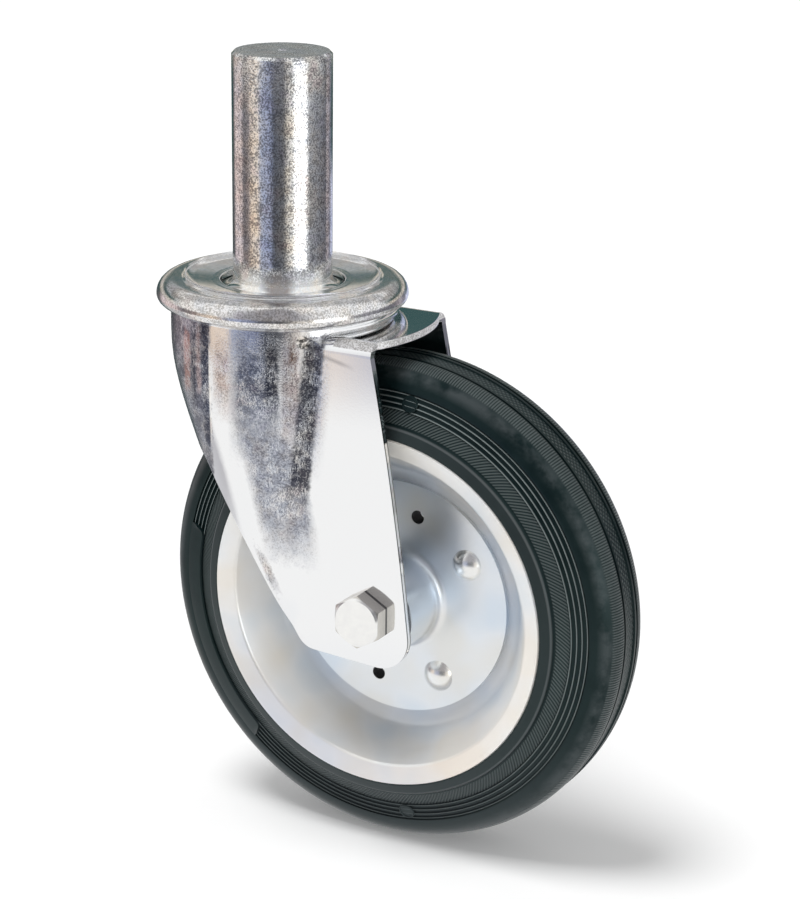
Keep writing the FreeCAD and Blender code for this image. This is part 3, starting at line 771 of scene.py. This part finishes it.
def tyre_profile():
    """Outline of the tyre's section in metres: beads, hatched bands, ridges, shoulders and tread."""
    half = [
        (58.2, 5.5),
        (66.4, 20.2),
        (72.25, 22.8),
        (72.25, 24.7, 0.7),
        (77.0, 22.7, 1.3),
        (77.6, 21.3),
        (83.2, 18.5),
    ]
    for ridge in tyre_ridges:
        base = 18.45 - (ridge - 83.2) * 0.3
        half += [(ridge - 0.45, base + 0.1), (ridge - 0.1, base + 0.75)]
        half += [(ridge + 0.1, base + 0.75), (ridge + 0.4, base)]
    half += [
        (90.5, 16.6),
        (90.9, 17.4, 0.3),
        (99.3, 16.3, 11.0),
        (100.0, 6.2),
        (98.2, 6.0),
        (98.2, 5.2),
        (100.0, 5.0),
        (100.0, 3.8),
        (99.4, 3.6),
    ]
    near = rounded(half, 8)
    whole = near + [Vector((point.x, -point.y)) for point in reversed(near)]
    return [(point.x / 1000, point.y / 1000) for point in whole]


def panel_profile(side):
    """Section of the smooth panel that covers the ridges, drawn in round its two ends."""
    def at(angle):
        reach = min(angle - panel_start, panel_end - angle) * panel_middle
        drawn = 0.0
        if reach < panel_corner:
            left = panel_corner ** 2 - (panel_corner - reach) ** 2
            drawn = panel_corner - math.sqrt(max(left, 0))
        inner = panel_inner + drawn
        outline = [
            (inner, 0.0170),
            (inner + 0.0001, 0.0193),
            (inner + 0.0006, 0.0198),
            (0.0880, 0.0187),
            (panel_outer, 0.0172),
            (panel_outer, panel_root),
            (inner + 0.0001, panel_root),
        ]
        return [(radius, side * place) for radius, place in outline]
    return at


def round_mark(name, angle, side, material):
    """Blank round button on the tyre's side, a raised ring round a flat face."""
    rings = ((0.0034, -0.0008), (0.0034, 0.0006), (0.0031, 0.0009), (0.0027, 0.0009), (0.0025, 0.0005),
             (0.0, 0.0005))
    radial = Vector((math.cos(angle), 0, math.sin(angle)))
    tangent = Vector((-math.sin(angle), 0, math.cos(angle)))
    outward = (Vector((0, side, 0)) + radial * mark_tilt).normalized()
    inward = outward.cross(tangent).normalized()
    middle = Vector((wheel_centre.x, side * mark_side, wheel_centre.z)) + radial * mark_radius
    points = []
    for radius, height in rings:
        for i in range(mark_turns):
            turn = 2 * math.pi * i / mark_turns
            arm = tangent * math.cos(turn) + inward * math.sin(turn)
            points.append(middle + outward * height + arm * radius)
    mesh = bpy.data.meshes.new(name)
    mesh.from_pydata(points, [], ring_faces(len(rings), mark_turns))
    finished(name, mesh, "wheel", material)


def make_tyre():
    """Detailed tyre in place of the plain one."""
    ridged = rubber("tyre_rubber")
    tyre = revolve("tyre_detail", tyre_profile(), tyre_turns, "wheel", ridged)
    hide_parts("tyre")
    smooth = rubber("tyre_rubber_smooth", ridged=False)
    for side, word in ((-1, "near"), (1, "far")):
        revolve("tyre_panel_" + word, panel_profile(side), panel_turns, "wheel", smooth,
                start=panel_start, end=panel_end)
        for i, angle in enumerate(mark_angles):
            round_mark("tyre_mark_%s_%d" % (word, i + 1), angle, side, smooth)


# Head flange

def flange_profile():
    """Section of the pressed cover in metres: sunk centre, hollow dish, step, round rim and rolled lip."""
    corners = [
        (12.05, -7.5),
        (12.05, -4.5),
        (24.7, -4.5, 0.8),
        (24.7, -0.45, 0.5),
        (27.5, -0.65, 9.0),
        (37.6, 0.45, 6.0),
        (38.1, 1.05, 0.3),
        (39.2, 1.1, 0.3),
        (40.0, 0.55, 1.0),
        (50.0, 0.75, 6.4),
        (50.0, -9.2, 3.4),
        (44.2, -9.2),
        (44.2, -7.6),
        (47.0, -6.2, 1.5),
        (47.0, -2.4, 3.0),
        (39.2, -1.9),
        (37.8, -3.0),
        (36.8, -3.0),
        (34.0, -1.6, 2.6),
        (31.2, -3.0),
        (27.7, -3.0, 1.0),
        (27.7, -7.5),
    ]
    return [(point.x / 1000, point.y / 1000) for point in rounded(corners, 7)]


def make_flange():
    """Head flange with its hollow dish and full round rim, in place of the plainer one."""
    flange = revolve("flange_detail", flange_profile(), flange_turns, "head", flange_zinc("flange_zinc"),
                     round_the_stem)
    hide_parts("head_flange")


# Studio

def camera_sees(tree):
    """1 for rays of the camera, and for those mirrored or let through on their way to it."""
    light_path = add(tree, "LightPath")
    seen = larger(tree, light_path.outputs["Is Camera Ray"], light_path.outputs["Is Glossy Ray"])
    return larger(tree, seen, light_path.outputs["Is Transmission Ray"])


def make_floor():
    """Pale floor that looks white and keeps the soft shadow."""
    bpy.ops.mesh.primitive_plane_add(size=40, location=(0, 0, floor_z))
    floor = bpy.context.object
    floor.name = "floor"
    material = bpy.data.materials.new("floor_white")
    material.use_nodes = True
    tree = material.node_tree
    shader = tree.nodes["Principled BSDF"]
    shader.inputs["Base Color"].default_value = (0.95, 0.95, 0.95, 1)
    shader.inputs["Roughness"].default_value = 0.9
    shader.inputs["Specular IOR Level"].default_value = 0.1
    glow = add(tree, "Emission", {"Color": (1, 1, 1, 1), "Strength": 1.0})
    share = times(tree, camera_sees(tree), floor_glow)
    mixed = add(tree, "MixShader", {0: share, 1: shader.outputs[0], 2: glow.outputs[0]})
    lifted = times(tree, camera_sees(tree), floor_lift)
    lift = add(tree, "Emission", {"Color": (1, 1, 1, 1), "Strength": lifted})
    total = add(tree, "AddShader", {0: mixed.outputs[0], 1: lift.outputs[0]})
    tree.links.new(total.outputs[0], tree.nodes["Material Output"].inputs["Surface"])
    floor.data.materials.append(material)


def make_world():
    """Even soft light from all round, white where the camera sees it."""
    world = bpy.data.worlds.new("studio")
    bpy.context.scene.world = world
    world.use_nodes = True
    tree = world.node_tree
    background = tree.nodes["Background"]
    strength = spread(tree, camera_sees(tree), 0, 1, world_strength, 1.0)
    tree.links.new(strength, background.inputs["Strength"])
    background.inputs["Color"].default_value = (1, 1, 1, 1)


def bearing_stops(cards):
    """Colour ramp stops for cards at bearings from the camera's, to the right, in degrees."""
    return [((180 + degrees) / 360, colour) for degrees, colour in cards]


def height_stops(cards):
    """Colour ramp stops for cards at heights in metres."""
    return [((level - cards_bottom) / (cards_top - cards_bottom), colour) for level, colour in cards]


def card_colour(tree):
    """Colour of the tent: cards by bearing on its wall, paler ones low down, others high up and behind."""
    x, y, z = split(tree, add(tree, "TexCoord").outputs["Object"])
    bearing = maths(tree, "ARCTAN2", x, times(tree, y, -1.0))
    turned = plus(tree, bearing, math.pi - math.radians(camera_azimuth))
    share = maths(tree, "FRACT", maths(tree, "DIVIDE", turned, 2 * math.pi))
    distance = distance_to(tree, x, y)
    back = maths(tree, "SUBTRACT", 1.0, between(tree, share, 0.10, 0.90, 0.02))
    low = ramp(tree, share, bearing_stops(low_cards))
    low = blend(tree, times(tree, back, spread(tree, distance, 0.33, 0.38)), low, (0.05, 0.09, 0.09))
    low = blend(tree, spread(tree, distance, 0.24, 0.20), low, (0.95, 0.95, 0.95))
    wall = ramp(tree, share, bearing_stops(wall_cards))
    wall = blend(tree, spread(tree, z, -0.2, -0.165), low, wall)
    behind = ramp(tree, spread(tree, z, cards_bottom, cards_top), height_stops(behind_cards))
    front = blend(tree, between(tree, share, 0.38, 0.57, 0.03), (1.0, 1.0, 1.0), (0.36, 0.35, 0.37))
    high = blend(tree, between(tree, share, 0.20, 0.80, 0.02), behind, front)
    colour = blend(tree, spread(tree, z, floor_z + 0.001, -0.185), low, wall)
    high_behind = times(tree, back, spread(tree, z, -0.07, -0.05))
    return blend(tree, larger(tree, spread(tree, z, -0.01, 0.03), high_behind), colour, high)


def make_tent():
    """Round floor, wall and lid of studio cards that only the glossy surfaces mirror."""
    tip = 0.001
    bottom = floor_z + tent_clearance
    rings = (
        (tip, bottom),
        (tent_radius, bottom),
        (tent_radius, tent_top),
        (tent_radius * 0.3, tent_lid),
        (tip, tent_lid),
    )
    points = []
    for radius, z in rings:
        for i in range(tent_turns):
            points.append(round_the_stem(radius, z, 2 * math.pi * i / tent_turns))
    mesh = bpy.data.meshes.new("tent")
    mesh.from_pydata(points, [], ring_faces(len(rings), tent_turns))
    material = bpy.data.materials.new("tent_cards")
    material.use_nodes = True
    tree = material.node_tree
    tree.nodes.remove(tree.nodes["Principled BSDF"])
    glow = add(tree, "Emission", {"Color": card_colour(tree), "Strength": 1.0})
    tree.links.new(glow.outputs[0], tree.nodes["Material Output"].inputs["Surface"])
    mesh.materials.append(material)
    tent = bpy.data.objects.new("tent", mesh)
    bpy.context.scene.collection.objects.link(tent)
    tent.visible_camera = False
    tent.visible_diffuse = False
    tent.visible_shadow = False
    tent.visible_transmission = False
    tent.visible_volume_scatter = False


def make_sun():
    """Large soft light from the upper left of the camera."""
    sun = bpy.data.objects.new("sun", bpy.data.lights.new("sun", "SUN"))
    sun.data.energy = sun_strength
    sun.data.angle = math.radians(sun_width)
    back = pointing(camera_azimuth + sun_bearing, sun_height)
    sun.rotation_euler = back.to_track_quat("Z", "Y").to_euler()
    sun.visible_glossy = False
    bpy.context.scene.collection.objects.link(sun)


make_camera()
make_materials()
make_tyre()
make_flange()
make_floor()
make_world()
make_tent()
make_sun()
bpy.context.scene.view_settings.view_transform = "Standard"
